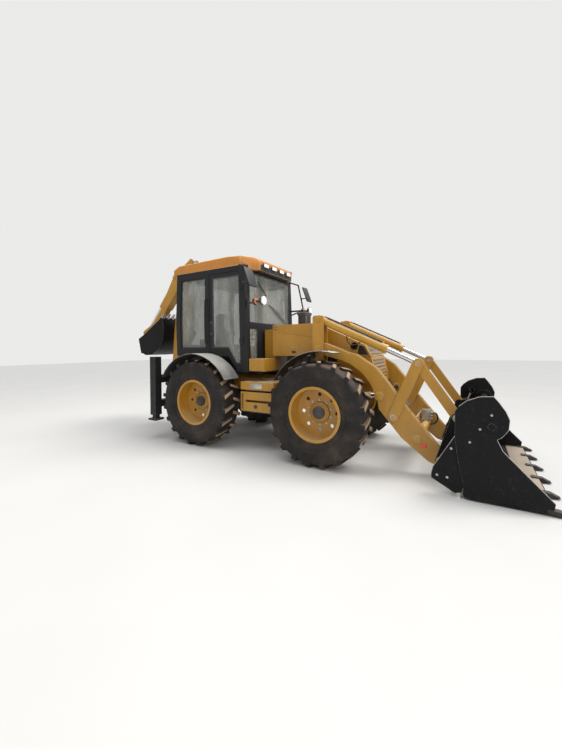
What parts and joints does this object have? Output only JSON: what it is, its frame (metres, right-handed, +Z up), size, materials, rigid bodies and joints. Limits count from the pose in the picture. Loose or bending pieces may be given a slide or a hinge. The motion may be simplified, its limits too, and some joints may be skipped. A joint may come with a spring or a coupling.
{
  "type": "backhoe loader",
  "caption": "Backhoe loader: four-wheel-steer chassis with cab, parallel-lift loader with clamshell bucket, and side-shifting hoe with stabilisers.",
  "frame": {"origin": "ground level under the middle of the outline box at rest", "axes": "+X forwards, +Y to the machine's left, +Z up"},
  "size_m": [7.4673, 2.38, 3.5113],
  "materials": {
    "yellow_paint": "satin, dusty",
    "orange_paint": "satin",
    "black_paint": "matte, dusty",
    "dark_metal": "painted, dusty",
    "black_plastic": "moulded, matte",
    "glass": "lightly tinted",
    "lamp": "clear lens",
    "fabric": "woven",
    "tyre": "dusty",
    "steel": "turned",
    "chrome": "polished"
  },
  "bodies": {
    "root": {"chassis": "yellow_paint", "engine": "dark_metal", "mudguards": "black_plastic", "bodywork": "yellow_paint", "axles": "dark_metal", "cab_frame": "black_paint", "cab_glass": "glass", "roof": "orange_paint", "lamps": "lamp", "controls": "black_plastic", "rear_frame": "black_paint"},
    "hood": {"hood": "yellow_paint"},
    "door_left": {"door_left": "black_paint", "door_left_glass": "glass"},
    "door_right": {"door_right": "black_paint", "door_right_glass": "glass"},
    "seat": {"seat": "fabric"},
    "knuckle_front_left": {"knuckle_fl": "dark_metal"},
    "knuckle_front_right": {"knuckle_fr": "dark_metal"},
    "knuckle_rear_left": {"knuckle_rl": "dark_metal"},
    "knuckle_rear_right": {"knuckle_rr": "dark_metal"},
    "wheel_front_left": {"rim_fl": "yellow_paint", "tyre_fl": "tyre"},
    "wheel_front_right": {"rim_fr": "yellow_paint", "tyre_fr": "tyre"},
    "wheel_rear_left": {"rim_rl": "yellow_paint", "tyre_rl": "tyre"},
    "wheel_rear_right": {"rim_rr": "yellow_paint", "tyre_rr": "tyre"},
    "loader_arms": {"loader_arms": "yellow_paint"},
    "lever_pins": {"lever_pins": "steel"},
    "levers": {"levers": "yellow_paint"},
    "link_pins": {"link_pins": "steel"},
    "links": {"links": "yellow_paint"},
    "bucket_pins": {"bucket_pins": "steel"},
    "bucket": {"bucket": "black_paint"},
    "bucket_jaw": {"bucket_jaw": "black_paint"},
    "lift_barrels": {"lift_barrels": "yellow_paint"},
    "lift_rods": {"lift_rods": "chrome"},
    "tilt_barrels": {"tilt_barrels": "yellow_paint"},
    "tilt_rods": {"tilt_rods": "chrome"},
    "clam_barrels": {"clam_barrels": "yellow_paint"},
    "clam_rods": {"clam_rods": "chrome"},
    "stabiliser_left": {"stabiliser_left": "black_paint"},
    "stabiliser_right": {"stabiliser_right": "black_paint"},
    "carriage": {"carriage": "yellow_paint"},
    "swing_rod_left": {"swing_rod_left": "chrome"},
    "swing_rod_right": {"swing_rod_right": "chrome"},
    "swing_post": {"swing_post": "yellow_paint"},
    "boom": {"boom": "yellow_paint"},
    "boom_barrel": {"boom_barrel": "yellow_paint"},
    "boom_rod": {"boom_rod": "chrome"},
    "dipper": {"dipper": "yellow_paint"},
    "dipper_barrel": {"dipper_barrel": "yellow_paint"},
    "dipper_rod": {"dipper_rod": "chrome"},
    "hoe_rocker": {"hoe_rocker": "yellow_paint"},
    "hoe_link": {"hoe_link": "yellow_paint"},
    "hoe_bucket": {"hoe_bucket": "black_paint"},
    "dig_barrel": {"dig_barrel": "yellow_paint"},
    "dig_rod": {"dig_rod": "chrome"}
  },
  "joints": [
    {"name": "steer_front", "type": "hinge", "parent": "root", "child": "knuckle_front_left", "pos_m": [1.09371, 0.77, 0.72], "axis": [0, 0, 1], "range_deg": [-17, 17]},
    {"name": "steer_front_right", "type": "hinge", "parent": "root", "child": "knuckle_front_right", "pos_m": [1.09371, -0.77, 0.72], "axis": [0, 0, 1], "range_deg": [-17.5, 17.5]},
    {"name": "wheel_front_left_spin", "type": "hinge", "parent": "knuckle_front_left", "child": "wheel_front_left", "pos_m": [1.09371, 0.94, 0.72], "axis": [0, 1, 0], "continuous": true},
    {"name": "wheel_front_right_spin", "type": "hinge", "parent": "knuckle_front_right", "child": "wheel_front_right", "pos_m": [1.09371, -0.94, 0.72], "axis": [0, 1, 0], "continuous": true},
    {"name": "steer_rear", "type": "hinge", "parent": "root", "child": "knuckle_rear_left", "pos_m": [-1.10629, 0.77, 0.72], "axis": [0, 0, 1], "range_deg": [-17, 17]},
    {"name": "steer_rear_right", "type": "hinge", "parent": "root", "child": "knuckle_rear_right", "pos_m": [-1.10629, -0.77, 0.72], "axis": [0, 0, 1], "range_deg": [-17.5, 17.5]},
    {"name": "wheel_rear_left_spin", "type": "hinge", "parent": "knuckle_rear_left", "child": "wheel_rear_left", "pos_m": [-1.10629, 0.94, 0.72], "axis": [0, 1, 0], "continuous": true},
    {"name": "wheel_rear_right_spin", "type": "hinge", "parent": "knuckle_rear_right", "child": "wheel_rear_right", "pos_m": [-1.10629, -0.94, 0.72], "axis": [0, 1, 0], "continuous": true},
    {"name": "loader_lift", "type": "hinge", "parent": "root", "child": "loader_arms", "pos_m": [0.97871, 0, 1.6], "axis": [0, -1, 0], "range_deg": [0, 75]},
    {"name": "lever_level", "type": "hinge", "parent": "loader_arms", "child": "lever_pins", "pos_m": [2.03371, 0, 0.7], "axis": [0, -1, 0], "range_deg": [-42.71, 0.5]},
    {"name": "bucket_level", "type": "hinge", "parent": "loader_arms", "child": "bucket_pins", "pos_m": [2.59371, 0, 0.22], "axis": [0, -1, 0], "range_deg": [-58.05, 0.5]},
    {"name": "bucket_tilt", "type": "hinge", "parent": "bucket_pins", "child": "bucket", "pos_m": [2.59371, 0, 0.22], "axis": [0, 1, 0], "range_deg": [-42, 46]},
    {"name": "lever_turn", "type": "hinge", "parent": "lever_pins", "child": "levers", "pos_m": [2.03371, 0, 0.7], "axis": [0, 1, 0], "range_deg": [-26.32, 28.77]},
    {"name": "link_level", "type": "hinge", "parent": "levers", "child": "link_pins", "pos_m": [2.33854, 0, 1.40491], "axis": [0, -1, 0], "range_deg": [-0.5, 40.75]},
    {"name": "link_turn", "type": "hinge", "parent": "link_pins", "child": "links", "pos_m": [2.33854, 0, 1.40491], "axis": [0, 1, 0], "range_deg": [-32.15, 29.4]},
    {"name": "clam", "type": "hinge", "parent": "bucket", "child": "bucket_jaw", "pos_m": [3.10371, 0, 0.8], "axis": [0, -1, 0], "range_deg": [0, 55]},
    {"name": "clam_barrel_turn", "type": "hinge", "parent": "bucket", "child": "clam_barrels", "pos_m": [2.74371, 0, 0.33], "axis": [0, -1, 0], "range_deg": [-6.34, 0.5]},
    {"name": "clam_rod_slide", "type": "slide", "parent": "clam_barrels", "child": "clam_rods", "axis": [0.3311, 0, 0.9436], "range_m": [-0.16716, 0.001]},
    {"name": "lift_barrel_turn", "type": "hinge", "parent": "root", "child": "lift_barrels", "pos_m": [0.74371, 0, 0.85], "axis": [0, -1, 0], "range_deg": [-0.5, 47.71]},
    {"name": "lift_rod_slide", "type": "slide", "parent": "lift_barrels", "child": "lift_rods", "axis": [0.995, 0, 0.0998], "range_m": [-0.001, 0.67673]},
    {"name": "tilt_barrel_turn", "type": "hinge", "parent": "root", "child": "tilt_barrels", "pos_m": [0.97871, 0, 2.04], "axis": [0, -1, 0], "range_deg": [-0.5, 72.88]},
    {"name": "tilt_rod_slide", "type": "slide", "parent": "tilt_barrels", "child": "tilt_rods", "axis": [0.9061, 0, -0.4232], "range_m": [-0.3338, 0.36549]},
    {"name": "hood_open", "type": "hinge", "parent": "root", "child": "hood", "pos_m": [0.03371, 0, 1.985], "axis": [0, -1, 0], "range_deg": [0, 45]},
    {"name": "door_left_open", "type": "hinge", "parent": "root", "child": "door_left", "pos_m": [-0.30129, 0.8, 0], "axis": [0, 0, -1], "range_deg": [0, 85]},
    {"name": "door_right_open", "type": "hinge", "parent": "root", "child": "door_right", "pos_m": [-0.30129, -0.8, 0], "axis": [0, 0, 1], "range_deg": [0, 85]},
    {"name": "seat_swivel", "type": "hinge", "parent": "root", "child": "seat", "pos_m": [-1.09629, 0, 0], "axis": [0, 0, 1], "range_deg": [0, 180]},
    {"name": "stabiliser_left_down", "type": "slide", "parent": "root", "child": "stabiliser_left", "axis": [0, 0, -1], "range_m": [0, 0.48]},
    {"name": "stabiliser_right_down", "type": "slide", "parent": "root", "child": "stabiliser_right", "axis": [0, 0, -1], "range_m": [0, 0.48]},
    {"name": "side_shift", "type": "slide", "parent": "root", "child": "carriage", "axis": [0, 1, 0], "range_m": [-0.55, 0.55]},
    {"name": "swing", "type": "hinge", "parent": "carriage", "child": "swing_post", "pos_m": [-2.50629, 0, 0], "axis": [0, 0, 1], "range_deg": [-90, 90]},
    {"name": "swing_rod_left_slide", "type": "slide", "parent": "carriage", "child": "swing_rod_left", "axis": [1, 0, 0], "range_m": [-0.151, 0.151]},
    {"name": "swing_rod_right_slide", "type": "slide", "parent": "carriage", "child": "swing_rod_right", "axis": [1, 0, 0], "range_m": [-0.151, 0.151]},
    {"name": "boom_lower", "type": "hinge", "parent": "swing_post", "child": "boom", "pos_m": [-2.74629, 0, 0.6], "axis": [0, -1, 0], "range_deg": [0, 70]},
    {"name": "boom_barrel_turn", "type": "hinge", "parent": "swing_post", "child": "boom_barrel", "pos_m": [-2.52629, 0, 1.13], "axis": [0, -1, 0], "range_deg": [-0.5, 81.57]},
    {"name": "boom_rod_slide", "type": "slide", "parent": "boom_barrel", "child": "boom_rod", "axis": [-0.0427, 0, 0.9991], "range_m": [-0.001, 0.60297]},
    {"name": "dipper_out", "type": "hinge", "parent": "boom", "child": "dipper", "pos_m": [-2.42334, 0, 3.23025], "axis": [0, 1, 0], "range_deg": [0, 90]},
    {"name": "dipper_barrel_turn", "type": "hinge", "parent": "boom", "child": "dipper_barrel", "pos_m": [-2.27334, 0, 1.95], "axis": [0, -1, 0], "range_deg": [-0.5, 0.98]},
    {"name": "dipper_rod_slide", "type": "slide", "parent": "dipper_barrel", "child": "dipper_rod", "axis": [0.0687, 0, 0.9976], "range_m": [-0.46758, 0.001]},
    {"name": "hoe_bucket_open", "type": "hinge", "parent": "dipper", "child": "hoe_bucket", "pos_m": [-3.53864, 0, 1.94724], "axis": [0, 1, 0], "range_deg": [0, 178]},
    {"name": "rocker_turn", "type": "hinge", "parent": "dipper", "child": "hoe_rocker", "pos_m": [-3.34182, 0, 2.17365], "axis": [0, 1, 0], "range_deg": [-0.5, 104.71]},
    {"name": "hoe_link_turn", "type": "hinge", "parent": "hoe_rocker", "child": "hoe_link", "pos_m": [-3.68172, 0, 2.00375], "axis": [0, 1, 0], "range_deg": [-86.52, 0.5]},
    {"name": "dig_barrel_turn", "type": "hinge", "parent": "dipper", "child": "dig_barrel", "pos_m": [-2.66775, 0, 3.17771], "axis": [0, 1, 0], "range_deg": [-0.5, 9.72]},
    {"name": "dig_rod_slide", "type": "slide", "parent": "dig_barrel", "child": "dig_rod", "axis": [-0.6537, 0, -0.7568], "range_m": [-0.56685, 0.001]}
  ],
  "couplings": [
    {"joint": "steer_front_right", "follows": "steer_front", "ratio": 1},
    {"joint": "steer_rear_right", "follows": "steer_rear", "ratio": 1},
    {"joint": "lever_level", "follows": "loader_lift", "ratio": -0.56282},
    {"joint": "bucket_level", "follows": "loader_lift", "ratio": -0.76728},
    {"joint": "lever_turn", "follows": "bucket_tilt", "ratio": 0.61464},
    {"joint": "link_level", "follows": "loader_lift", "ratio": 0.5367},
    {"joint": "link_turn", "follows": "bucket_tilt", "ratio": -0.68811},
    {"joint": "clam_barrel_turn", "follows": "clam", "ratio": -0.10628},
    {"joint": "clam_rod_slide", "follows": "clam", "m_per_rad": -0.1731},
    {"joint": "lift_barrel_turn", "follows": "loader_lift", "ratio": 0.62941},
    {"joint": "lift_rod_slide", "follows": "loader_lift", "m_per_rad": 0.51622},
    {"joint": "tilt_barrel_turn", "follows": "loader_lift", "ratio": 0.96507},
    {"joint": "tilt_rod_slide", "follows": "bucket_tilt", "m_per_rad": 0.45399},
    {"joint": "swing_rod_left_slide", "follows": "swing", "m_per_rad": -0.095493},
    {"joint": "swing_rod_right_slide", "follows": "swing", "m_per_rad": 0.095493},
    {"joint": "boom_barrel_turn", "follows": "boom_lower", "ratio": 1.1582},
    {"joint": "boom_rod_slide", "follows": "boom_lower", "m_per_rad": 0.49272},
    {"joint": "dipper_barrel_turn", "follows": "dipper_out", "ratio": 0.00534},
    {"joint": "dipper_rod_slide", "follows": "dipper_out", "m_per_rad": -0.29703},
    {"joint": "rocker_turn", "follows": "hoe_bucket_open", "ratio": 0.58547},
    {"joint": "hoe_link_turn", "follows": "hoe_bucket_open", "ratio": -0.48323},
    {"joint": "dig_barrel_turn", "follows": "hoe_bucket_open", "ratio": 0.051819},
    {"joint": "dig_rod_slide", "follows": "hoe_bucket_open", "m_per_rad": -0.18214}
  ]
}
